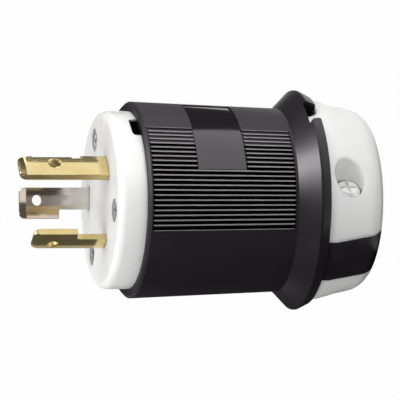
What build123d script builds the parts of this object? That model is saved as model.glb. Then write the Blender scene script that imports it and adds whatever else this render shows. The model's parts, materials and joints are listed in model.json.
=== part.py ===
from build123d import *
import math
import os

# Three-blade locking plug that stands on its cord end, blades up.
# Lengths are millimetres, angles are degrees about the upright axis, and the cord clamp closes along Y.

# Heights of the housing, stacked from the cord end upward
rim_height = 14.7
rim_to_crest = 2.55
recess_depth = 2.8
bulkhead_thickness = 3.5
chamber_length = 14.4
retainer_thickness = 4.0
terminal_room = 6.0
carrier_body_length = 9.5
nose_seat_depth = 2.1
nose_reach = 6.5

# Radii that drive the rest, and the walls between them
nose_radius = 20.6
dome_radius = 23.3
cord_hole_radius = 10.5
lip_wall = 2.05
shell_narrowing = 1.4
barrel_wall = 3.1
rim_wall = 1.05
crest_rise = 1.05
crest_land = 0.4
front_edge_chamfer = 0.6

# Ribs on two sides of the barrel, in pockets that grow shallow towards their upper end
rib_start_angle = -158.8
rib_pitch = 2.95
rib_width = 0.27
rib_drop = 0.05
groove_depth = 1.3
deep_groove_count = 14
middle_groove_count = 4
shallow_groove_count = 4
middle_share = 0.55
shallow_share = 0.25
groove_end_margin = 0.6

# Bare panel across the front ribs
panel_height = 39.4
panel_length = 11.6
panel_angle = -90.0
panel_half_angle = 32.5
panel_depth = 0.3

# White nose with its key
nose_round = 1.7
key_angle = -86.0
key_width = 6.1
key_round = 0.9
key_reach = 1.75
key_thickness = 1.2
key_recess = 0.5

# Blades, on one circle
blade_inner_radius = 10.4
blade_thickness = 1.5
blade_tip_bevel = 1.5
blade_tip_land = 0.7
blade_corner_round = 1.1
blade_hole_radius = 1.25
blade_hole_height = 12.4
notch_round = 0.7
ground_angle = -98.0
ground_width = 6.0
ground_neck_width = 6.0
ground_notch_height = 6.0
ground_length = 20.8
ground_hole_shift = 0.5
ground_tip_slope = 0.6
neutral_angle = 43.0
neutral_width = 7.2
neutral_neck_width = 5.0
neutral_notch_height = 7.3
neutral_length = 16.6
neutral_hole_shift = -0.7
hot_angle = 164.0
hot_width = 5.6
hot_neck_width = 4.0
hot_notch_height = 7.0
hot_length = 17.2
hot_hole_shift = -0.9

# Hook of the ground blade: a tab folded inward beside a relief cut
hook_bend_radius = 2.0
hook_overhang = 0.9
hook_leg = 1.8
hook_relief_length = 2.0
hook_relief_depth = 0.9
hook_tip_gap = 3.4
hook_room_angle = 30.0

# Terminals
ground_terminal_angle = -30.0
neutral_terminal_angle = 96.0
hot_terminal_angle = 210.0
terminal_edge = 2.0
terminal_shank_radius = 1.45
terminal_head_radius = 2.6
terminal_head_height = 1.8
terminal_head_depth = 0.5
foot_gap = 0.3
foot_end_margin = 14.0
wire_plate_thickness = 1.8
wire_plate_half_angle = 14.0
wire_gap = 1.0
cup_wall = 0.95
partition_thickness = 1.6
wire_hole_radius = 3.2
wire_hole_circle = 8.6
drive_width = 0.8
drive_depth = 0.9
drive_span = 1.3

# Assembly screws from the flange into the retainer's posts, behind notches in the clamp and the lip
assembly_angle = -78.0
assembly_inset = 3.3
assembly_shank_radius = 1.45
assembly_head_radius = 2.4
assembly_head_height = 1.9
assembly_seat_depth = 1.7
assembly_grip = 9.0
post_radius = 3.1
access_radius = 3.0
access_wall = 0.8
access_boss_setback = 1.0
lip_notch_angle = -86.8
lip_notch_width = 7.9
lip_notch_slant = 2.1
lip_notch_step = 0.5
lip_notch_past_crest = 0.65

# Cord clamp and the fingers beside it
dome_narrowing = 3.1
dome_straight_height = 12.4
dome_round = 5.5
parting_gap = 1.2
grip_radius = 8.0
grip_mouth_chamfer = 1.5
finger_width = 11.0
finger_thickness = 6.2
clamp_screw_inset = 3.3
clamp_screw_height = 9.5
clamp_seat_inset = 10.3
clamp_shank_radius = 1.7
clamp_head_radius = 3.0
clamp_head_height = 2.0
clamp_head_chamfer = 0.8
clamp_recess_flare = 0.12
clamp_nut_width = 6.4
clamp_nut_thickness = 2.6
clamp_nut_inset = 13.5
clamp_screw_over = 0.8

# Rubber disc in the bulkhead
shield_overlap = 0.9
shield_thickness = 1.2
shield_hole_radius = 4.0

# Clearances
fit_gap = 0.15
recess_gap = 0.25
slot_gap = 0.1
screw_gap = 0.15
thread_gap = 0.05

# Heights that follow from the stack
crest_height = rim_height + rim_to_crest
recess_floor = rim_height + recess_depth
chamber_floor = recess_floor + bulkhead_thickness
retainer_bottom = chamber_floor + chamber_length
carrier_bottom = retainer_bottom + retainer_thickness
terminal_floor = carrier_bottom + terminal_room
nose_seat = terminal_floor + carrier_body_length
front_height = nose_seat + nose_seat_depth
face_height = front_height + nose_reach
key_top = front_height + key_reach
foot_bottom = terminal_floor - blade_thickness
wire_plate_top = foot_bottom - wire_gap
wire_plate_bottom = wire_plate_top - wire_plate_thickness
terminal_seat = face_height - terminal_head_depth - terminal_head_height
assembly_seat = recess_floor + assembly_seat_depth

# Radii that follow from the walls
nose_bore_radius = nose_radius + fit_gap
shell_front_radius = nose_bore_radius + lip_wall
shell_rear_radius = shell_front_radius - shell_narrowing
chamber_radius = shell_rear_radius - barrel_wall
recess_radius = dome_radius + recess_gap
rim_radius = recess_radius + rim_wall
crest_radius = rim_radius + crest_rise
spigot_radius = chamber_radius - fit_gap
cup_radius = spigot_radius - cup_wall
foot_outer_radius = cup_radius - foot_gap
terminal_radius = foot_outer_radius - terminal_edge
blade_outer_radius = blade_inner_radius + blade_thickness
assembly_radius = chamber_radius - assembly_inset
access_inner_radius = assembly_radius - access_radius
finger_inner_radius = dome_radius - finger_thickness
dome_base_radius = dome_radius - dome_narrowing
clamp_screw_offset = finger_inner_radius - clamp_screw_inset
clamp_seat_offset = dome_radius - clamp_seat_inset
clamp_nut_offset = dome_radius - clamp_nut_inset
clamp_screw_end = clamp_nut_offset + clamp_nut_thickness + clamp_screw_over
shield_radius = cord_hole_radius + shield_overlap

# The flange falls to the shell at 45 degrees, and the ribs end short of that slope and of the front edge
slope_foot = crest_height + crest_radius - shell_rear_radius
shell_taper = math.degrees(math.atan2(shell_front_radius - shell_rear_radius, front_height - slope_foot))
rib_bottom = slope_foot + groove_end_margin
rib_top = front_height - front_edge_chamfer - groove_end_margin / 2
panel_bottom = panel_height - panel_length / 2
panel_top = panel_height + panel_length / 2
cut_margin = 2.0

# Each blade: its place, the place of its terminal, its width, its neck and its height
blades = {
    "ground": {
        "angle": ground_angle,
        "terminal": ground_terminal_angle,
        "width": ground_width,
        "neck": ground_neck_width,
        "hole_shift": ground_hole_shift,
        "notch_top": face_height + ground_notch_height,
        "tip": face_height + ground_length,
        "next_angle": neutral_angle,
    },
    "neutral": {
        "angle": neutral_angle,
        "terminal": neutral_terminal_angle,
        "width": neutral_width,
        "neck": neutral_neck_width,
        "hole_shift": neutral_hole_shift,
        "notch_top": face_height + neutral_notch_height,
        "tip": face_height + neutral_length,
        "next_angle": hot_angle,
    },
    "hot": {
        "angle": hot_angle,
        "terminal": hot_terminal_angle,
        "width": hot_width,
        "neck": hot_neck_width,
        "hole_shift": hot_hole_shift,
        "notch_top": face_height + hot_notch_height,
        "tip": face_height + hot_length,
        "next_angle": ground_angle + 360,
    },
}


def shell_radius(height):
    share = (height - slope_foot) / (front_height - slope_foot)
    return shell_rear_radius + share * (shell_front_radius - shell_rear_radius)


def turned(points, start_angle=0.0, sweep=360.0):
    """Solid of revolution of a radius-height outline, from a start angle."""
    outline = Plane.XZ * make_face(Polyline(*points, close=True))
    return Rot(0, 0, start_angle) * revolve(outline, Axis.Z, sweep)


def ring(inner, outer, bottom, top, start_angle=0.0, sweep=360.0):
    return turned([(inner, bottom), (outer, bottom), (outer, top), (inner, top)], start_angle, sweep)


def shell_layer(inner_depth, outer_depth, bottom, top, start_angle, sweep):
    """Sector that follows the barrel's taper between two depths under its surface."""
    points = [
        (shell_radius(bottom) - inner_depth, bottom),
        (shell_radius(bottom) - outer_depth, bottom),
        (shell_radius(top) - outer_depth, top),
        (shell_radius(top) - inner_depth, top),
    ]
    return turned(points, start_angle, sweep)


def stamped(outline):
    """Radial extrusion of an outline drawn in tangential offset and height, at angle zero."""
    tangent_plane = Plane(origin=(0, 0, 0), x_dir=(0, 1, 0), z_dir=(1, 0, 0))
    return extrude(tangent_plane * outline, crest_radius + cut_margin)


def upright(radius, bottom, top):
    return Pos(0, 0, bottom) * Cylinder(radius, top - bottom, align=(Align.CENTER, Align.CENTER, Align.MIN))


def radial(radius, start, end, height):
    """Cylinder along the X axis at a height, from one radius to another."""
    return Pos((start + end) / 2, 0, height) * Rot(0, 90, 0) * Cylinder(radius, end - start)


def block(x_range, y_range, z_range):
    size = [high - low for low, high in (x_range, y_range, z_range)]
    centre = [(high + low) / 2 for low, high in (x_range, y_range, z_range)]
    return Pos(*centre) * Box(*size)


def at(radius, angle):
    return Rot(0, 0, angle) * Pos(radius, 0, 0)


def cross_drive(head_radius):
    """Cross recess that opens upward at height zero."""
    bar = Box(head_radius * drive_span, drive_width, 2 * drive_depth)
    return bar + Rot(0, 0, 90) * bar


def make_dome():
    """Rounded rear form that the clamp halves and the fingers share."""
    points = [
        (0, 0),
        (dome_base_radius, 0),
        (dome_radius, dome_straight_height),
        (dome_radius, recess_floor),
        (0, recess_floor),
    ]
    outline = make_face(Polyline(*points, close=True))
    rear_corner = outline.vertices().sort_by_distance((dome_base_radius, 0))[0]
    outline = fillet(rear_corner, dome_round)
    return revolve(Plane.XZ * outline, Axis.Z)


def make_rib_pocket():
    """Pocket for one side's ribs, in three sectors that meet under a rib."""
    levels = (
        (deep_groove_count, 1.0),
        (middle_groove_count, middle_share),
        (shallow_groove_count, shallow_share),
    )
    sectors = []
    first = 0
    for count, share in levels:
        start_angle = rib_start_angle + first * rib_pitch
        depth = groove_depth * share
        sectors.append(shell_layer(depth, -cut_margin, rib_bottom, rib_top, start_angle, count * rib_pitch))
        first += count
    return sectors


def make_ribs():
    """Thin straight ribs that stand in the pocket and end inside its end walls."""
    foot = groove_depth + rib_width
    middle = (rib_bottom + rib_top) / 2
    centre = shell_radius(middle) - (foot + rib_drop) / 2
    length = rib_top - rib_bottom + groove_end_margin / 2
    rib = Pos(centre, 0, middle) * Rot(0, shell_taper, 0) * Box(foot - rib_drop, rib_width, length)
    grooves = deep_groove_count + middle_groove_count + shallow_groove_count
    return [Rot(0, 0, rib_start_angle + index * rib_pitch) * rib for index in range(1, grooves)]


def make_key_outline(gap):
    """Front end of the key with its round corners, widened all round by a gap."""
    half_width = key_width / 2 + gap
    points = [
        (-half_width, nose_seat),
        (half_width, nose_seat),
        (half_width, key_top + gap),
        (-half_width, key_top + gap),
    ]
    outline = make_face(Polyline(*points, close=True))
    return fillet(outline.vertices().group_by(Axis.Y)[-1], key_round + gap)


def make_key():
    key_face = nose_radius - key_recess
    points = [
        (key_face - key_thickness, nose_seat),
        (nose_bore_radius + fit_gap, nose_seat),
        (nose_bore_radius + fit_gap, front_height - front_edge_chamfer),
        (key_face, front_height - front_edge_chamfer),
        (key_face, key_top),
        (key_face - key_thickness, key_top),
    ]
    return Rot(0, 0, key_angle) * (turned(points) & stamped(make_key_outline(0)))


def make_lip_notch():
    """Cut through the flange's lip with one slanted end, in front of an assembly screw."""
    half_width = lip_notch_width / 2
    notch_top = crest_height + lip_notch_past_crest
    points = [
        (lip_notch_slant - half_width, rim_height - cut_margin),
        (half_width, rim_height - cut_margin),
        (half_width, notch_top),
        (-half_width, notch_top),
        (lip_notch_slant - half_width, rim_height + lip_notch_step),
    ]
    band = ring(recess_radius - fit_gap, crest_radius + cut_margin, rim_height - cut_margin, notch_top)
    return Rot(0, 0, lip_notch_angle) * (band & stamped(make_face(Polyline(*points, close=True))))


def make_finger():
    """Rear finger on the X axis, flush with the clamp's dome and rooted in the flange."""
    half_width = finger_width / 2
    y_range = (-half_width, half_width)
    shaft = make_dome() & block((finger_inner_radius, dome_radius + cut_margin), y_range, (0, recess_floor))
    root_end = (recess_radius + rim_radius) / 2
    root_z = (rim_height, recess_floor + bulkhead_thickness / 4)
    root = block((finger_inner_radius, root_end), y_range, root_z)
    return shaft + root


def make_access_boss():
    """Half-round tunnel under the bulkhead that leads in to one assembly screw's head."""
    outer = access_radius - fit_gap
    end = dome_radius - access_boss_setback
    boss = radial(outer, access_inner_radius, end, recess_floor)
    boss -= radial(outer - access_wall, assembly_radius, end, recess_floor)
    return boss & block((0, end), (-outer, outer), (recess_floor - outer, recess_floor))


def make_housing():
    """Black shell: flange, tapered ribbed barrel, two rear fingers and the key for the nose."""
    points = [
        (recess_radius, rim_height),
        (rim_radius, rim_height),
        (crest_radius, crest_height - crest_land),
        (crest_radius, crest_height),
        (shell_rear_radius, slope_foot),
        (shell_front_radius, front_height - front_edge_chamfer),
        (shell_front_radius - front_edge_chamfer, front_height),
        (nose_bore_radius, front_height),
        (nose_bore_radius, nose_seat),
        (chamber_radius, nose_seat),
        (chamber_radius, chamber_floor),
        (cord_hole_radius, chamber_floor),
        (cord_hole_radius, recess_floor),
        (recess_radius, recess_floor),
    ]
    body = turned(points)

    for side in (0, 180):
        body -= [Rot(0, 0, side) * sector for sector in make_rib_pocket()]
        body += [Rot(0, 0, side) * rib for rib in make_ribs()]
    panel_start = panel_angle - panel_half_angle
    panel_sweep = 2 * panel_half_angle
    body += shell_layer(2 * groove_depth, panel_depth / 2, panel_bottom, panel_top, panel_start, panel_sweep)
    body -= shell_layer(panel_depth, -cut_margin, panel_bottom, panel_top, panel_start, panel_sweep)

    body += make_key()
    body -= ring(chamber_radius / 2, shield_radius + fit_gap, chamber_floor - shield_thickness, chamber_floor)
    screw_room = recess_floor - access_radius - cut_margin
    for side in (0, 180):
        turn = Rot(0, 0, side)
        body += turn * make_finger()
        body -= turn * make_lip_notch()
        body += turn * Rot(0, 0, assembly_angle) * make_access_boss()
        screw_hole = upright(assembly_head_radius + screw_gap, screw_room, assembly_seat)
        screw_hole += upright(assembly_shank_radius + screw_gap, assembly_seat, chamber_floor)
        body -= turn * at(assembly_radius, assembly_angle) * screw_hole
    return body


def blade_place(name):
    return Rot(0, 0, blades[name]["angle"])


def terminal_place(name):
    return at(terminal_radius, blades[name]["terminal"])


def blade_edges(name):
    """Tangential limits of a blade's body and of its neck, which is cut back on one side."""
    half_width = blades[name]["width"] / 2
    return -half_width, half_width, blades[name]["neck"] - half_width


def make_hook(tip):
    """Tab of the ground blade that is folded inward, and the cutter that makes room for it."""
    relief_bottom = blades["ground"]["notch_top"]
    bottom = relief_bottom + hook_relief_length
    top = tip - hook_tip_gap
    half_width = ground_width / 2
    fold_start = half_width + hook_overhang - hook_bend_radius
    fold_angle = math.degrees(math.asin(fold_start / blade_outer_radius))
    centre = blade_outer_radius - hook_bend_radius
    bend_inner = hook_bend_radius - blade_thickness
    fold = Pos(centre, 0, 0) * ring(bend_inner, hook_bend_radius, bottom, top, 0, 90)
    leg = block((centre - hook_leg, centre), (bend_inner, hook_bend_radius), (bottom, top))
    reach = blade_outer_radius + cut_margin
    relief_y = (half_width - hook_relief_depth, half_width + cut_margin)
    relief = block((0, reach), relief_y, (relief_bottom, bottom))
    room = ring(blade_inner_radius - cut_margin, reach, bottom, top, fold_angle, hook_room_angle)
    return Rot(0, 0, fold_angle) * (fold + leg), relief + room


def make_blade(name):
    """Curved blade with a notched neck, a hole and a terminal foot under the carrier's floor."""
    tip = blades[name]["tip"]
    notch_top = blades[name]["notch_top"]
    low, high, neck = blade_edges(name)
    land = (blade_thickness - blade_tip_land) / 2
    ring_points = [
        (blade_inner_radius, foot_bottom),
        (blade_outer_radius, foot_bottom),
        (blade_outer_radius, tip - blade_tip_bevel),
        (blade_outer_radius - land, tip),
        (blade_inner_radius + land, tip),
        (blade_inner_radius, tip - blade_tip_bevel),
    ]
    points = [(low, tip), (low, foot_bottom), (neck, foot_bottom)]
    if name == "ground":
        points += [(high, tip - hook_tip_gap), (high - ground_tip_slope, tip)]
    else:
        points += [(neck, notch_top), (high, notch_top), (high, tip)]
    outline = make_face(Polyline(*points, close=True))
    outline = fillet(outline.vertices().group_by(Axis.Y)[-1], blade_corner_round)
    if name != "ground":
        outline = fillet(outline.vertices().sort_by_distance((neck, notch_top))[0], notch_round)
    hole = Pos(blades[name]["hole_shift"], face_height + blade_hole_height) * Circle(blade_hole_radius)
    blade = turned(ring_points) & stamped(outline - hole)
    if name == "ground":
        hook, hook_room = make_hook(tip)
        blade = blade - hook_room + hook
    start_angle = math.degrees(math.asin(low / blade_inner_radius))
    foot_sweep = blades[name]["terminal"] - blades[name]["angle"] + foot_end_margin - start_angle
    foot = ring(blade_inner_radius, foot_outer_radius, foot_bottom, terminal_floor, start_angle, foot_sweep)
    screw_hole = upright(terminal_shank_radius + screw_gap, foot_bottom, terminal_floor)
    return blade_place(name) * (blade + foot) - terminal_place(name) * screw_hole


def make_blade_slot(name):
    low, _, neck = blade_edges(name)
    wall = ring(blade_inner_radius - slot_gap, blade_outer_radius + slot_gap, terminal_floor, face_height)
    limits = block((0, nose_radius), (low - slot_gap, neck + slot_gap), (terminal_floor, face_height))
    return blade_place(name) * (wall & limits)


def make_carrier():
    """White nose: rounded face, spigot in the housing and a cup with a bay for each terminal."""
    points = [
        (0, carrier_bottom),
        (spigot_radius, carrier_bottom),
        (spigot_radius, nose_seat),
        (nose_radius, nose_seat),
        (nose_radius, face_height),
        (0, face_height),
    ]
    outline = make_face(Polyline(*points, close=True))
    face_corner = outline.vertices().sort_by_distance((nose_radius, face_height))[0]
    outline = fillet(face_corner, nose_round)
    body = revolve(Plane.XZ * outline, Axis.Z)
    bays = upright(cup_radius, carrier_bottom, terminal_floor)
    half_wall = partition_thickness / 2
    for blade in blades.values():
        wall = block((0, spigot_radius), (-half_wall, half_wall), (carrier_bottom, terminal_floor))
        bays -= Rot(0, 0, (blade["terminal"] + blade["next_angle"]) / 2) * wall
    body -= bays
    for name in blades:
        body -= make_blade_slot(name)
        screw_hole = upright(terminal_shank_radius + screw_gap, terminal_floor, terminal_seat)
        screw_hole += upright(terminal_head_radius + screw_gap, terminal_seat, face_height)
        body -= terminal_place(name) * screw_hole
    key_floor = nose_radius - key_recess - key_thickness - fit_gap
    key_band = ring(key_floor, nose_radius + cut_margin, nose_seat, key_top + fit_gap)
    body -= Rot(0, 0, key_angle) * (key_band & stamped(make_key_outline(fit_gap)))
    return body


def make_retainer():
    """Insulator that closes the carrier's cup, with two posts for the assembly screws."""
    body = upright(spigot_radius, retainer_bottom, carrier_bottom)
    for blade in blades.values():
        wire_hole = upright(wire_hole_radius, retainer_bottom, carrier_bottom)
        body -= at(wire_hole_circle, (blade["angle"] + blade["terminal"]) / 2) * wire_hole
    for side in (0, 180):
        place = at(assembly_radius, assembly_angle + side)
        body += place * upright(post_radius, chamber_floor, retainer_bottom)
        pilot_top = chamber_floor + assembly_grip + screw_gap
        body -= place * upright(assembly_shank_radius + thread_gap, chamber_floor, pilot_top)
    return body


def make_wire_clamp(name):
    """Plate that the terminal screw pulls up against the blade's foot."""
    start_angle = blades[name]["terminal"] - wire_plate_half_angle
    plate = ring(
        blade_inner_radius,
        foot_outer_radius,
        wire_plate_bottom,
        wire_plate_top,
        start_angle,
        2 * wire_plate_half_angle,
    )
    thread = upright(terminal_shank_radius + thread_gap, wire_plate_bottom, wire_plate_top)
    return plate - terminal_place(name) * thread


def make_terminal_screw(name):
    head_top = face_height - terminal_head_depth
    tip = wire_plate_bottom - wire_gap / 2
    screw = upright(terminal_shank_radius, tip, terminal_seat)
    screw += upright(terminal_head_radius, terminal_seat, head_top)
    screw -= Pos(0, 0, head_top) * cross_drive(terminal_head_radius)
    return terminal_place(name) * screw


def make_assembly_screw(side):
    head_bottom = assembly_seat - assembly_head_height
    screw = upright(assembly_head_radius, head_bottom, assembly_seat)
    screw += upright(assembly_shank_radius, assembly_seat, chamber_floor + assembly_grip)
    screw -= Pos(0, 0, head_bottom) * cross_drive(assembly_head_radius)
    return at(assembly_radius, assembly_angle + side) * screw


def along_clamp(points):
    """Turned solid about a clamp screw's line, from an outline in radius and distance towards -Y."""
    return Pos(0, 0, clamp_screw_height) * Rot(90, 0, 0) * turned(points)


def clamp_rod(radius, start, end):
    return along_clamp([(0, start), (radius, start), (radius, end), (0, end)])


def make_clamp_half(front):
    """White half of the cord clamp: screw heads sit in the front half, nuts in the back half."""
    half_gap = parting_gap / 2
    reach = dome_radius + cut_margin
    y_range = (-reach, -half_gap) if front else (half_gap, reach)
    z_range = (0, recess_floor)
    body = make_dome() & block((-reach, reach), y_range, z_range)
    half_finger = finger_width / 2 + fit_gap
    finger_slot = block((finger_inner_radius - fit_gap, reach), (-half_finger, half_finger), z_range)
    access = radial(access_radius, access_inner_radius - fit_gap, reach, recess_floor)
    for side in (0, 180):
        body -= Rot(0, 0, side) * finger_slot
        body -= Rot(0, 0, assembly_angle + side) * access
    grip_points = [
        (0, 0),
        (grip_radius + grip_mouth_chamfer, 0),
        (grip_radius, grip_mouth_chamfer),
        (grip_radius, recess_floor - grip_mouth_chamfer),
        (grip_radius + grip_mouth_chamfer, recess_floor),
        (0, recess_floor),
    ]
    body -= turned(grip_points)
    head_room = clamp_head_radius + screw_gap
    mouth = head_room + clamp_recess_flare * (reach - clamp_seat_offset)
    recess = along_clamp([(0, clamp_seat_offset), (head_room, clamp_seat_offset), (mouth, reach), (0, reach)])
    half_nut = clamp_nut_width / 2 + slot_gap
    nut_z = (clamp_screw_height - half_nut, clamp_screw_height + half_nut)
    nut_room = block((-half_nut, half_nut), (clamp_nut_offset, reach), nut_z)
    for x in (-clamp_screw_offset, clamp_screw_offset):
        body -= Pos(x, 0, 0) * clamp_rod(clamp_shank_radius + screw_gap, -reach, reach)
        body -= Pos(x, 0, 0) * (recess if front else nut_room)
    return body


def make_clamp_screw(side):
    head_top = clamp_seat_offset + clamp_head_height
    head_points = [
        (0, clamp_seat_offset),
        (clamp_head_radius, clamp_seat_offset),
        (clamp_head_radius, head_top - clamp_head_chamfer),
        (clamp_head_radius - clamp_head_chamfer, head_top),
        (0, head_top),
    ]
    screw = along_clamp(head_points) + clamp_rod(clamp_shank_radius, -clamp_screw_end, clamp_seat_offset)
    screw -= Pos(0, -head_top, clamp_screw_height) * Rot(90, 0, 0) * cross_drive(clamp_head_radius)
    return Pos(side * clamp_screw_offset, 0, 0) * screw


def make_clamp_nut(side):
    half_nut = clamp_nut_width / 2
    z_range = (clamp_screw_height - half_nut, clamp_screw_height + half_nut)
    nut = block((-half_nut, half_nut), (clamp_nut_offset, clamp_nut_offset + clamp_nut_thickness), z_range)
    nut -= clamp_rod(clamp_shank_radius + thread_gap, -clamp_screw_end - cut_margin, 0)
    return Pos(side * clamp_screw_offset, 0, 0) * nut


def make_dust_shield():
    return ring(shield_hole_radius, shield_radius, chamber_floor - shield_thickness, chamber_floor)


def make_all():
    pieces = {
        "housing": make_housing(),
        "blade_carrier": make_carrier(),
        "terminal_retainer": make_retainer(),
        "cord_clamp_front": make_clamp_half(True),
        "cord_clamp_back": make_clamp_half(False),
        "dust_shield": make_dust_shield(),
    }
    for name in blades:
        pieces[name + "_blade"] = make_blade(name)
        pieces[name + "_wire_clamp"] = make_wire_clamp(name)
        pieces[name + "_terminal_screw"] = make_terminal_screw(name)
    for name, side in (("left", -1), ("right", 1)):
        pieces["clamp_screw_" + name] = make_clamp_screw(side)
        pieces["clamp_nut_" + name] = make_clamp_nut(side)
    for name, side in (("front", 0), ("back", 180)):
        pieces["assembly_screw_" + name] = make_assembly_screw(side)
    return pieces


os.makedirs("parts", exist_ok=True)
for node, piece in make_all().items():
    export_step(piece, os.path.join("parts", node + ".step"))
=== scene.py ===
import json
import math

import bpy
from mathutils import Matrix, Vector

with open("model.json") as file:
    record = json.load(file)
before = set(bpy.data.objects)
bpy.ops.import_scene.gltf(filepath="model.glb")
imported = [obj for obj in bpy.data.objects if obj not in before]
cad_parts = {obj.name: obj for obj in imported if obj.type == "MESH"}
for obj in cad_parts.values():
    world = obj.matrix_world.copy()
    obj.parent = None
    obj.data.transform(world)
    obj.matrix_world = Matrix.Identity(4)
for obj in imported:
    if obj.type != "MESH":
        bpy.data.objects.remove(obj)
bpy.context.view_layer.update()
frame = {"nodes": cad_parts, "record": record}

scene = bpy.context.scene
scene.view_settings.view_transform = "Standard"
MM = 0.001

# The photograph: 400 pixels square, plug on its side with the blades to the left
IMAGE_SIZE = 400
PIXELS_PER_MM = 4.3
VIEW_AZIMUTH = math.radians(-51.0)
VIEW_TILT = math.radians(14.4)
CENTRE_HEIGHT = 39.46 * MM
CAMERA_DISTANCE = 1.0
SENSOR_WIDTH = 36.0
CLIP_START = 0.05
CLIP_END = 20.0

# Directions of the photograph: towards the viewer, up and along the blades, and the middle of its view
TOWARDS = Vector((math.sin(VIEW_AZIMUTH), -math.cos(VIEW_AZIMUTH), 0.0))
PHOTO_UP = Vector((math.cos(VIEW_AZIMUTH), math.sin(VIEW_AZIMUTH), 0.0))
BLADE_WAY = Vector((0.0, 0.0, 1.0))
TARGET = Vector((0.0, 0.0, CENTRE_HEIGHT))

# Bare panel on the barrel, about the -Y direction
PANEL_HALF_ANGLE = math.radians(32.5)
PANEL_BOTTOM = 33.6 * MM
PANEL_TOP = 45.2 * MM

# Stretch of the ribs, and how far short of its ends their crests get a painted highlight
RIB_BOTTOM = 22.1 * MM
RIB_TOP = 56.1 * MM
HIGHLIGHT_MARGIN = 0.25 * MM

# Heights of the flange's rear edge, of the end of its slope on the barrel and of the shell's front edge,
# past which all black moulding gets painted shade
FLANGE_BOTTOM = 14.8 * MM
SLOPE_END = 21.6 * MM
FRONT_EDGE = 57.1 * MM

# Flat part of the flange's slope, which falls at 45 degrees, and how near to that a face has to be
SLOPE_LOW = 17.7 * MM
SLOPE_HIGH = 21.3 * MM
SLOPE_LIKENESS = 0.9

# Holes in the nose: height of the face they open in, reach from the axis, and depth where their shade starts
NOSE_FACE = 63.5 * MM
HOLE_REACH = 18.5 * MM
HOLE_START = 0.2 * MM

# Stretch of the neutral blade over which its tarnish sets in
TARNISH_START = 70.0 * MM
TARNISH_END = 74.0 * MM

# Colours
BLACK = (0.0, 0.0, 0.0, 1.0)
WHITE = (1.0, 1.0, 1.0, 1.0)
BLACK_TONES = ((0.011, 0.008, 0.011), (0.016, 0.012, 0.016))
# Painted shade of the black moulding in its hollows
BLACK_PAINTED_SHADE = (0.001, 0.001, 0.001, 1.0)
# Painted highlight on the ribs' crests
BLACK_PAINTED_HIGHLIGHT = (0.85, 0.83, 0.84, 1.0)
BLACK_SHEEN = (1.0, 0.94, 0.97, 1.0)
WHITE_TONES = ((0.84, 0.84, 0.83), (0.87, 0.87, 0.865))
# Painted shade of the white moulding deep in its hollows
WHITE_PAINTED_SHADE = (0.05, 0.05, 0.05, 1.0)
BRASS_TONES = ((0.76, 0.60, 0.27), (0.84, 0.70, 0.37))
NICKEL_TONES = ((0.66, 0.62, 0.58), (0.74, 0.70, 0.66))
NICKEL_TARNISH = (0.71, 0.61, 0.51, 1.0)
STEEL_TONES = ((0.86, 0.86, 0.85), (0.95, 0.95, 0.94))
RUBBER_TONES = ((0.02, 0.02, 0.02), (0.035, 0.035, 0.034))
FLOOR_TONE = (0.45, 0.45, 0.45, 1.0)

# Roughness, from the smoothest to the roughest spot where there are two values
BARREL_ROUGHNESS = (0.5, 0.58)
FLANGE_ROUGHNESS = (0.32, 0.37)
PANEL_ROUGHNESS = (0.12, 0.15)
WHITE_ROUGHNESS = (0.2, 0.3)
RUBBER_ROUGHNESS = (0.6, 0.75)
BLADE_ROUGHNESS = 0.13
STEEL_ROUGHNESS = 0.3
SHEARED_ROUGHNESS = 0.45
FLOOR_ROUGHNESS = 0.9

# Roughness of the lines in a metal, as a share of its own
SMOOTH_LINE = 0.8
ROUGH_LINE = 1.3

# Fineness of the patterns in the materials, in spots to the metre, and the range that most values fill
BLACK_CLOUDS = 90.0
BLACK_GRAIN = 4200.0
WHITE_CLOUDS = 70.0
WHITE_WAVES = 260.0
METAL_LINES = 3000.0
METAL_STAINS = 180.0
RUBBER_CLOUDS = 300.0
RUBBER_GRAIN = 2500.0
LINE_STRETCH = (1.0, 1.0, 0.05)
PATTERN_ROUGHNESS = 0.55
PATTERN_RANGE = (0.3, 0.7)

# Depth of the patterns that stand out of a surface, and the share of it that shows
BLACK_GRAIN_DEPTH = 0.02 * MM
BLACK_GRAIN_SHARE = 0.4
PANEL_GRAIN_SHARE = 0.04
WHITE_WAVE_DEPTH = 0.03 * MM
WHITE_WAVE_SHARE = 0.3
METAL_LINE_DEPTH = 0.01 * MM
METAL_LINE_SHARE = 0.25
RUBBER_GRAIN_DEPTH = 0.03 * MM
RUBBER_GRAIN_SHARE = 0.4

# Radius that the materials give to sharp edges
SHELL_EDGE = 0.14 * MM
NOSE_EDGE = 0.3 * MM
CLAMP_EDGE = 1.2 * MM
GROUND_EDGE = 0.6 * MM
BRASS_EDGE = 0.2 * MM
NICKEL_EDGE = 0.1 * MM
SCREW_EDGE = 0.06 * MM
EDGE_SAMPLES = 8

# Painted shade in hollows: how far round a point it is looked for, and the openness at which it is full and
# gone
SHELL_SHADE_REACH = 4.0 * MM
SHELL_SHADE_RANGE = (0.25, 0.8)
WHITE_SHADE_REACH = 5.0 * MM
WHITE_SHADE_START = 0.05
NOSE_SHADE_END = 0.55
HOLE_SHADE_END = 1.0
CLAMP_SHADE_END = 0.3
SHADE_SAMPLES = 16

# Painted highlight on the ribs' crests: how far below a point they are looked for, and where it is full and
# gone
CREST_REACH = 0.24 * MM
CREST_RANGE = (0.35, 0.75)

# Cut edges of the blades: cosine to the plug's radius below which a face counts as one
SHEARED_LIMIT = 0.5

# Reflection of light on the mouldings, and its spread inside the white one
BLACK_INDEX = 1.5
BLACK_GLEAM = 0.5
WHITE_INDEX = 1.53
WHITE_SPREAD = (2.5 * MM, 2.4 * MM, 2.3 * MM)
WHITE_SPREAD_SHARE = 0.5

# Share of metal in the look of the clamp's screws
CLAMP_STEEL_METALLIC = 0.4

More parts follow.
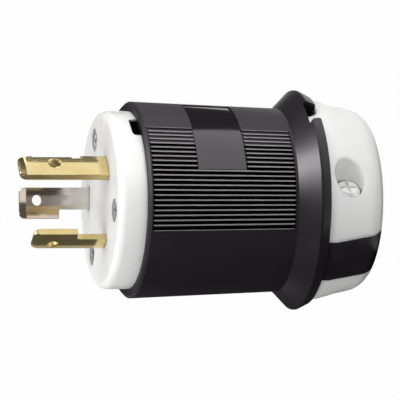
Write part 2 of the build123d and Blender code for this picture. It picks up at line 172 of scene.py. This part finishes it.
# Brightness of the surroundings on matt surfaces and in reflections
SKY_LIGHT = 0.3
SKY_GLEAM = 0.105

# White floor: half its width, and the share of its own light in what is seen of it
FLOOR_HALF = 3.0
FLOOR_GLOW = 0.98

# Soft boxes: direction (up, towards the viewer, along the blades), distance, size and brightness
LIGHTS = {
    "nose_light": ((0.41, 0.1, 0.91), 0.7, 0.5, 2.6),
    "low_light": ((-0.6, 0.2, 0.77), 0.2, 0.24, 1.85),
    "side_light": ((0.5, 0.86, 0.0), 0.16, 0.06, 2.7),
    "top_light": ((0.75, 0.6, 0.1), 0.2, 0.15, 2.9),
    "back_light": ((0.1, -0.9, 0.4), 0.7, 0.5, 2.0),
}

# Upper side of the soft boxes, which leans a little from the blades' direction
LIGHT_LEAN = 0.01
LIGHT_UP = BLADE_WAY + TOWARDS * LIGHT_LEAN

# Studio cards around the plug, seen only in reflections
CARD_OFFSET = 0.065
CARD_REACH = 0.4
CARD_TOP = 0.12
CARD_LIFT = 0.0005
MAT_START = 0.03
MAT_EDGE = 0.012
MAT_NEAR = 0.08
MAT_FAR = 0.26
FAR_END = 0.8
BRIGHT_END = 0.23
DARK_CARD = 0.04
BRIGHT_CARD = 2.4
FAR_CARD = 5.7

# Ring of floor that the blades mirror: angles from the viewer's direction, radii and brightness
BLADE_RING_LIFT = 0.001
SECTOR_STEPS = 12
BLADE_SECTORS = {
    "root_sector": (-40.0, 50.0, 0.235, 0.286, 0.55),
    "tip_sector": (-16.0, 17.0, 0.286, 0.5, 0.2),
    "low_sector": (-60.0, -16.0, 0.286, 0.5, 0.7),
    "pale_sector": (17.0, 50.0, 0.286, 0.5, 1.0),
    "bright_sector": (50.0, 92.0, 0.235, 0.5, 1.0),
    "back_sector": (92.0, 160.0, 0.235, 0.5, 0.05),
}

# Wall below the plug, as far as the blades mirror it
BLADE_FLAG_BOTTOM = 0.044
BLADE_FLAG_SPLIT = -0.03
BLADE_FLAG_GAP = 0.001
BLADE_FLAG = 0.11
BLADE_FLAG_BACK = 0.45

# Upright cards that the slanted blade tips mirror
TIP_CARD_OFFSET = 0.3
TIP_CARD_BOTTOM = 0.15
TIP_CARD_TOP = 0.36
NEUTRAL_TIP_LOW = -0.2
NEUTRAL_TIP_HIGH = 0.03
NEUTRAL_TIP_CARD = 1.0
GROUND_TIP_NEAR = -0.1
GROUND_TIP_FAR = 0.2
GROUND_TIP_CARD = 0.5

# Small bright card over the nose, for the highlight on the flange's slope
GLEAM_HEIGHT = 0.68
GLEAM_LOW = 0.18
GLEAM_HIGH = 0.4
GLEAM_NEAR = -0.04
GLEAM_FAR = 0.18
GLEAM_CARD = 26.0


def add_object(name, data):
    made = bpy.data.objects.new(name, data)
    scene.collection.objects.link(made)
    return made


def turned_to(back, up):
    """Rotation whose local Z points along back and whose local Y is as near to up as it can be."""
    back = back.normalized()
    side = up.cross(back).normalized()
    return Matrix((side, back.cross(side), back)).transposed().to_4x4()


def make_camera():
    """Long lens that looks at the plug from the side, tipped to the blades and rolled to lay it down."""
    data = bpy.data.cameras.new("photo_camera")
    field = IMAGE_SIZE / PIXELS_PER_MM * MM
    data.sensor_width = SENSOR_WIDTH
    data.lens = SENSOR_WIDTH * CAMERA_DISTANCE / field
    data.clip_start = CLIP_START
    data.clip_end = CLIP_END
    back = TOWARDS * math.cos(VIEW_TILT) + BLADE_WAY * math.sin(VIEW_TILT)
    camera = add_object("photo_camera", data)
    camera.matrix_world = Matrix.Translation(TARGET + back * CAMERA_DISTANCE) @ turned_to(back, PHOTO_UP)
    scene.camera = camera


def make_light(name, direction, distance, size, radiance):
    """Soft box that faces the plug's middle from a direction (up, towards the viewer, along the blades)."""
    up, towards, along = direction
    way = (PHOTO_UP * up + TOWARDS * towards + BLADE_WAY * along).normalized()
    data = bpy.data.lights.new(name, "AREA")
    data.shape = "SQUARE"
    data.size = size
    data.energy = radiance * math.pi * size**2
    lamp = add_object(name, data)
    lamp.matrix_world = Matrix.Translation(TARGET + way * distance) @ turned_to(way, LIGHT_UP)
    lamp.visible_camera = False
    lamp.visible_glossy = False


def make_lights():
    for name, settings in LIGHTS.items():
        make_light(name, *settings)


def make_world():
    """Even light from all round, dimmer in reflections."""
    world = bpy.data.worlds.new("studio")
    scene.world = world
    world.use_nodes = True
    tree = world.node_tree
    path = tree.nodes.new("ShaderNodeLightPath")
    strength = tree.nodes.new("ShaderNodeMapRange")
    strength.inputs["To Min"].default_value = SKY_LIGHT
    strength.inputs["To Max"].default_value = SKY_GLEAM
    tree.links.new(path.outputs["Is Glossy Ray"], strength.inputs["Value"])
    background = tree.nodes["Background"]
    background.inputs["Color"].default_value = WHITE
    tree.links.new(strength.outputs["Result"], background.inputs["Strength"])


class Shader:
    """One material, built up node by node."""

    def __init__(self, name):
        self.material = bpy.data.materials.new(name)
        self.material.use_nodes = True
        self.tree = self.material.node_tree
        self.main = self.tree.nodes["Principled BSDF"]
        self.output = self.tree.nodes["Material Output"]

    def set(self, **values):
        """Even values of the main shader, with underscores for the spaces in their names."""
        for name, value in values.items():
            self.main.inputs[name.replace("_", " ")].default_value = value

    def link(self, source, target):
        """Changing value of the main shader."""
        self.tree.links.new(source, self.main.inputs[target])

    def node(self, kind, inputs=None, **settings):
        """New node, with each input linked to a socket or set to a value."""
        made = self.tree.nodes.new(kind)
        for name, value in settings.items():
            setattr(made, name, value)
        for key, value in (inputs or {}).items():
            if isinstance(value, bpy.types.NodeSocket):
                self.tree.links.new(value, made.inputs[key])
            else:
                made.inputs[key].default_value = value
        return made

    def math(self, operation, first, second=0.0):
        return self.node("ShaderNodeMath", {0: first, 1: second}, operation=operation).outputs[0]

    def vector(self, operation, first, second=(0.0, 0.0, 0.0)):
        """Result of a vector operation: a number for a length or a dot product, else a vector."""
        made = self.node("ShaderNodeVectorMath", {0: first, 1: second}, operation=operation)
        return made.outputs["Value" if operation in ("LENGTH", "DOT_PRODUCT") else "Vector"]

    def position(self):
        return self.node("ShaderNodeTexCoord").outputs["Object"]

    def height(self):
        return self.node("ShaderNodeSeparateXYZ", {0: self.position()}).outputs["Z"]

    def across(self):
        """Position in plan, from the plug's axis."""
        return self.vector("MULTIPLY", self.position(), (1.0, 1.0, 0.0))

    def outward(self):
        """Direction away from the plug's axis."""
        return self.vector("NORMALIZE", self.across())

    def between(self, value, low, high):
        """One between two limits, zero elsewhere."""
        above = self.math("GREATER_THAN", value, low)
        below = self.math("LESS_THAN", value, high)
        return self.math("MULTIPLY", above, below)

    def noise(self, scale, detail=3.0, vector=None):
        """Random pattern, over the piece's own position unless another vector is given."""
        vector = vector or self.position()
        inputs = {"Vector": vector, "Scale": scale, "Detail": detail, "Roughness": PATTERN_ROUGHNESS}
        return self.node("ShaderNodeTexNoise", inputs).outputs["Fac"]

    def ranged(self, value, results, limits=PATTERN_RANGE):
        """Number that runs between two results while the value runs between two limits."""
        low, high = results
        start, end = limits
        inputs = {"Value": value, "From Min": start, "From Max": end, "To Min": low, "To Max": high}
        return self.node("ShaderNodeMapRange", inputs).outputs["Result"]

    def ramp(self, value, tones):
        """Colour that runs from a first tone to a second one while a pattern runs over its range."""
        made = self.node("ShaderNodeValToRGB", {"Fac": value})
        for element, place, tone in zip(made.color_ramp.elements, PATTERN_RANGE, tones):
            element.position = place
            element.color = (*tone, 1.0)
        return made.outputs["Color"]

    def blend(self, share, first, second):
        """Number between two others."""
        return self.node("ShaderNodeMix", {"Factor": share, "A": first, "B": second}).outputs["Result"]

    def mixed(self, share, first, second):
        """Colour or direction between two others, by the colour sockets of the node."""
        return self.node("ShaderNodeMix", {0: share, 6: first, 7: second}, data_type="RGBA").outputs[2]

    def bump(self, height, distance, strength, normal=None):
        inputs = {"Height": height, "Distance": distance, "Strength": strength}
        if normal is not None:
            inputs["Normal"] = normal
        return self.node("ShaderNodeBump", inputs).outputs["Normal"]

    def openness(self, reach, inside=False):
        """One in the open, less in a hollow. Inside, one in the thick of a piece, less at a crest."""
        inputs = {"Distance": reach}
        made = self.node("ShaderNodeAmbientOcclusion", inputs, inside=inside, samples=SHADE_SAMPLES)
        return made.outputs["AO"]

    def rounded(self, radius):
        """Direction of the surface with its edges rounded."""
        return self.node("ShaderNodeBevel", {"Radius": radius}, samples=EDGE_SAMPLES).outputs["Normal"]


def make_card(name, brightness, corners):
    """Studio card that only reflections show, from corners in (up, towards the viewer, height)."""
    mesh = bpy.data.meshes.new(name)
    points = [PHOTO_UP * up + TOWARDS * towards + BLADE_WAY * height for up, towards, height in corners]
    mesh.from_pydata(points, [], [range(len(points))])
    card = add_object(name, mesh)
    made = Shader(name)
    made.set(Base_Color=BLACK, Specular_IOR_Level=0.0, Emission_Color=WHITE, Emission_Strength=brightness)
    mesh.materials.append(made.material)
    card.visible_camera = False
    card.visible_diffuse = False
    card.visible_shadow = False


def wall_card(up, near, far, bottom, top):
    """Upright card below or above the plug in the photograph."""
    return [(up, near, bottom), (up, far, bottom), (up, far, top), (up, near, top)]


def front_card(towards, low, high, bottom, top):
    """Upright card across the viewer's direction."""
    return [(low, towards, bottom), (high, towards, bottom), (high, towards, top), (low, towards, top)]


def flat_card(low, high, near, far, height=CARD_LIFT):
    """Level card, just over the floor unless a height is given."""
    return [(low, near, height), (low, far, height), (high, far, height), (high, near, height)]


def sector_card(start, end, near, far):
    """Sector of a ring on the floor between two angles from the viewer's direction."""
    angles = [math.radians(start + (end - start) * step / SECTOR_STEPS) for step in range(SECTOR_STEPS + 1)]
    inner = [(near * math.sin(angle), near * math.cos(angle), BLADE_RING_LIFT) for angle in angles]
    outer = [(far * math.sin(angle), far * math.cos(angle), BLADE_RING_LIFT) for angle in reversed(angles)]
    return inner + outer


def make_cards():
    """Dark cards below, behind and in front of the plug, and bright ones above it."""
    make_card("low_flag", DARK_CARD, wall_card(-CARD_OFFSET, -CARD_REACH, CARD_REACH, 0.0, CARD_TOP))
    make_card("front_mat", DARK_CARD, flat_card(-CARD_OFFSET, CARD_OFFSET, MAT_START, CARD_REACH))
    make_card("low_mat", DARK_CARD, flat_card(-CARD_OFFSET, -MAT_EDGE, -CARD_REACH, MAT_START))
    make_card("back_mat", DARK_CARD, flat_card(MAT_NEAR, MAT_FAR, -CARD_REACH, 0.0))
    make_card("far_mat", FAR_CARD, flat_card(MAT_FAR, FAR_END, -CARD_REACH, 0.0))
    make_card("bright_mat", BRIGHT_CARD, flat_card(CARD_OFFSET, BRIGHT_END, 0.0, BRIGHT_END))


def make_blade_cards():
    """Cards that only the blades mirror, round the plug and on the wall below it."""
    for name, (start, end, near, far, brightness) in BLADE_SECTORS.items():
        make_card(name, brightness, sector_card(start, end, near, far))
    wall = BLADE_FLAG_GAP - CARD_OFFSET
    front = wall_card(wall, BLADE_FLAG_SPLIT, CARD_REACH, BLADE_FLAG_BOTTOM, CARD_TOP)
    back = wall_card(wall, -CARD_REACH, BLADE_FLAG_SPLIT, BLADE_FLAG_BOTTOM, CARD_TOP)
    make_card("blade_flag", BLADE_FLAG, front)
    make_card("blade_flag_back", BLADE_FLAG_BACK, back)


def make_tip_cards():
    """Bright card in front of the neutral blade's tip and a dimmer one above the ground blade's."""
    heights = (TIP_CARD_BOTTOM, TIP_CARD_TOP)
    neutral = front_card(TIP_CARD_OFFSET, NEUTRAL_TIP_LOW, NEUTRAL_TIP_HIGH, *heights)
    ground = wall_card(TIP_CARD_OFFSET, GROUND_TIP_NEAR, GROUND_TIP_FAR, *heights)
    make_card("neutral_tip_card", NEUTRAL_TIP_CARD, neutral)
    make_card("ground_tip_card", GROUND_TIP_CARD, ground)


def make_gleam_card():
    """Small bright card over the nose."""
    corners = flat_card(GLEAM_LOW, GLEAM_HIGH, GLEAM_NEAR, GLEAM_FAR, GLEAM_HEIGHT)
    make_card("gleam_card", GLEAM_CARD, corners)


def panel_mask(made, margin=0.0):
    """One on the bare panel of the barrel and the margin at its ends, zero elsewhere."""
    parts = made.node("ShaderNodeSeparateXYZ", {0: made.position()})
    towards_front = made.math("MULTIPLY", parts.outputs["Y"], -1.0)
    angle = made.math("ABSOLUTE", made.math("ARCTAN2", parts.outputs["X"], towards_front))
    around = made.math("LESS_THAN", angle, PANEL_HALF_ANGLE)
    along = made.between(parts.outputs["Z"], PANEL_BOTTOM - margin, PANEL_TOP + margin)
    return made.math("MULTIPLY", around, along)


def crest_mask(made):
    """One where the ribs' crests get a painted highlight: between the ends of the ribs and beside the panel.
    """
    ribs = made.between(made.height(), RIB_BOTTOM + HIGHLIGHT_MARGIN, RIB_TOP - HIGHLIGHT_MARGIN)
    return made.math("SUBTRACT", ribs, panel_mask(made, HIGHLIGHT_MARGIN))


def hole_mask(made):
    """One inside the holes of the nose's face, zero on its outside."""
    within = made.math("LESS_THAN", made.vector("LENGTH", made.across()), HOLE_REACH)
    below = made.math("LESS_THAN", made.height(), NOSE_FACE - HOLE_START)
    return made.math("MULTIPLY", within, below)


def sheared_mask(made):
    """One on the cut edges of a curved blade, zero on the faces that lie along its circle."""
    normal = made.node("ShaderNodeNewGeometry").outputs["Normal"]
    along = made.vector("DOT_PRODUCT", normal, made.outward())
    return made.math("LESS_THAN", made.math("ABSOLUTE", along), SHEARED_LIMIT)


def even_slope(made, normal):
    """The given normal, or on the flange's slope the normal of one true cone."""
    cone = made.vector("NORMALIZE", made.vector("ADD", made.outward(), (0.0, 0.0, 1.0)))
    face = made.node("ShaderNodeNewGeometry").outputs["True Normal"]
    alike = made.math("GREATER_THAN", made.vector("DOT_PRODUCT", face, cone), SLOPE_LIKENESS)
    along = made.between(made.height(), SLOPE_LOW, SLOPE_HIGH)
    return made.mixed(made.math("MULTIPLY", alike, along), normal, cone)


def black_roughness(made, clouds, panel):
    """Matt barrel, smoother flange and polished panel."""
    flange = made.between(made.height(), FLANGE_BOTTOM, SLOPE_END)
    matt = made.blend(flange, made.ranged(clouds, BARREL_ROUGHNESS), made.ranged(clouds, FLANGE_ROUGHNESS))
    return made.blend(panel, matt, made.ranged(clouds, PANEL_ROUGHNESS))


def black_nylon():
    """Fine matt moulding with a polished bare panel, painted shade in the grooves and painted highlights on
    the crests.
    """
    made = Shader("black_nylon")
    made.set(IOR=BLACK_INDEX, Specular_Tint=BLACK_SHEEN)
    clouds = made.noise(BLACK_CLOUDS, detail=4.0)
    grain = made.noise(BLACK_GRAIN, detail=2.0)
    panel = panel_mask(made)
    # Painted shade: hollows of the shell, and all black moulding past its front edge, take a near-black
    # colour and lose their gloss
    shell = made.math("LESS_THAN", made.height(), FRONT_EDGE)
    hollow = made.ranged(made.openness(SHELL_SHADE_REACH), (0.0, 1.0), SHELL_SHADE_RANGE)
    lit = made.math("MULTIPLY", shell, hollow)
    # Painted highlight: the ribs' crests take a near-white colour
    crests = made.ranged(made.openness(CREST_REACH, inside=True), (1.0, 0.0), CREST_RANGE)
    crest_highlight = made.math("MULTIPLY", crest_mask(made), crests)
    shaded = made.mixed(lit, BLACK_PAINTED_SHADE, made.ramp(clouds, BLACK_TONES))
    made.link(made.mixed(crest_highlight, shaded, BLACK_PAINTED_HIGHLIGHT), "Base Color")
    made.link(made.math("MULTIPLY", lit, BLACK_GLEAM), "Specular IOR Level")
    made.link(black_roughness(made, clouds, panel), "Roughness")
    share = made.blend(panel, BLACK_GRAIN_SHARE, PANEL_GRAIN_SHARE)
    normal = even_slope(made, made.rounded(SHELL_EDGE))
    made.link(made.bump(grain, BLACK_GRAIN_DEPTH, share, normal), "Normal")
    return made.material


def white_nylon(name, edge, shade_end, hole_shade_end=None):
    """Translucent moulding, with painted shade only deep in its hollows."""
    made = Shader(name)
    made.set(IOR=WHITE_INDEX, Subsurface_Weight=WHITE_SPREAD_SHARE)
    made.set(Subsurface_Radius=WHITE_SPREAD, Subsurface_Scale=1.0)
    clouds = made.noise(WHITE_CLOUDS)
    waves = made.noise(WHITE_WAVES, detail=2.0)
    if hole_shade_end:
        shade_end = made.blend(hole_mask(made), shade_end, hole_shade_end)
    # Painted shade: deep hollows, and the nose's holes more strongly, take a dark colour
    lit = made.ranged(made.openness(WHITE_SHADE_REACH), (0.0, 1.0), (WHITE_SHADE_START, shade_end))
    made.link(made.mixed(lit, WHITE_PAINTED_SHADE, made.ramp(clouds, WHITE_TONES)), "Base Color")
    made.link(made.ranged(clouds, WHITE_ROUGHNESS), "Roughness")
    made.link(made.bump(waves, WHITE_WAVE_DEPTH, WHITE_WAVE_SHARE, made.rounded(edge)), "Normal")
    return made.material


def metal(name, tones, roughness, edge=SCREW_EDGE, blade=False, tarnish=None, metallic=1.0):
    """Metal with fine lines along the axis. Blades have duller cut edges, and tarnish browns a tip."""
    made = Shader(name)
    made.set(Metallic=metallic)
    stretched = made.node("ShaderNodeMapping", {"Vector": made.position(), "Scale": LINE_STRETCH})
    lines = made.noise(METAL_LINES, vector=stretched.outputs["Vector"])
    colour = made.ramp(made.noise(METAL_STAINS), tones)
    if tarnish:
        brown = made.ranged(made.height(), (0.0, 1.0), (TARNISH_START, TARNISH_END))
        colour = made.mixed(brown, colour, tarnish)
    finish = made.ranged(lines, (roughness * SMOOTH_LINE, roughness * ROUGH_LINE))
    if blade:
        finish = made.blend(sheared_mask(made), finish, SHEARED_ROUGHNESS)
    made.link(colour, "Base Color")
    made.link(finish, "Roughness")
    made.link(made.bump(lines, METAL_LINE_DEPTH, METAL_LINE_SHARE, made.rounded(edge)), "Normal")
    return made.material


def rubber():
    """Dull black sheet of the dust shield."""
    made = Shader("rubber")
    clouds = made.noise(RUBBER_CLOUDS)
    grain = made.noise(RUBBER_GRAIN)
    made.link(made.ramp(clouds, RUBBER_TONES), "Base Color")
    made.link(made.ranged(clouds, RUBBER_ROUGHNESS), "Roughness")
    made.link(made.bump(grain, RUBBER_GRAIN_DEPTH, RUBBER_GRAIN_SHARE), "Normal")
    return made.material


def slot_finishes():
    """Finish of each material slot."""
    nylon = white_nylon("white_nylon", NOSE_EDGE, NOSE_SHADE_END, HOLE_SHADE_END)
    nickel = metal("nickel_plate", NICKEL_TONES, BLADE_ROUGHNESS, NICKEL_EDGE, True, NICKEL_TARNISH)
    return {
        "black_nylon": black_nylon(),
        "white_nylon": nylon,
        "inner_nylon": nylon,
        "brass": metal("brass", BRASS_TONES, BLADE_ROUGHNESS, BRASS_EDGE, True),
        "nickel_plate": nickel,
        "screw_steel": metal("screw_steel", STEEL_TONES, STEEL_ROUGHNESS),
        "rubber": rubber(),
    }


def piece_finishes():
    """Finish of each piece that differs from the rest of its slot."""
    nylon = white_nylon("clamp_nylon", CLAMP_EDGE, CLAMP_SHADE_END)
    steel = metal("clamp_steel", STEEL_TONES, STEEL_ROUGHNESS, metallic=CLAMP_STEEL_METALLIC)
    return {
        "ground_blade": metal("ground_brass", BRASS_TONES, BLADE_ROUGHNESS, GROUND_EDGE, True),
        "cord_clamp_front": nylon,
        "cord_clamp_back": nylon,
        "clamp_screw_left": steel,
        "clamp_screw_right": steel,
    }


def dress_nodes():
    """Gives each piece its own finish, or else that of its material slot."""
    by_slot = slot_finishes()
    by_piece = piece_finishes()
    for entry in frame["record"]["subparts"]:
        name = entry["node"]
        materials = frame["nodes"][name].data.materials
        materials.clear()
        materials.append(by_piece.get(name, by_slot[entry["material_slot"]]))


def floor_material():
    """Pale grey to the light, and white to the camera and in reflections."""
    made = Shader("floor")
    made.set(Base_Color=FLOOR_TONE, Roughness=FLOOR_ROUGHNESS)
    rays = made.node("ShaderNodeLightPath").outputs
    mirrored = made.math("MAXIMUM", rays["Is Camera Ray"], rays["Is Glossy Ray"])
    seen = made.math("MAXIMUM", mirrored, rays["Is Transmission Ray"])
    share = made.math("MULTIPLY", seen, FLOOR_GLOW)
    glow = made.node("ShaderNodeEmission", {"Color": WHITE, "Strength": 1.0}).outputs[0]
    mix = made.node("ShaderNodeMixShader", {0: share, 1: made.main.outputs[0], 2: glow})
    made.tree.links.new(mix.outputs[0], made.output.inputs["Surface"])
    return made.material


def make_floor():
    """Floor that the plug stands on, which still takes a soft shadow."""
    half = FLOOR_HALF
    mesh = bpy.data.meshes.new("floor")
    corners = [(-half, -half, 0.0), (half, -half, 0.0), (half, half, 0.0), (-half, half, 0.0)]
    mesh.from_pydata(corners, [], [range(len(corners))])
    mesh.materials.append(floor_material())
    floor = add_object("floor", mesh)


make_camera()
make_lights()
make_world()
make_floor()
make_cards()
make_blade_cards()
make_tip_cards()
make_gleam_card()
dress_nodes()
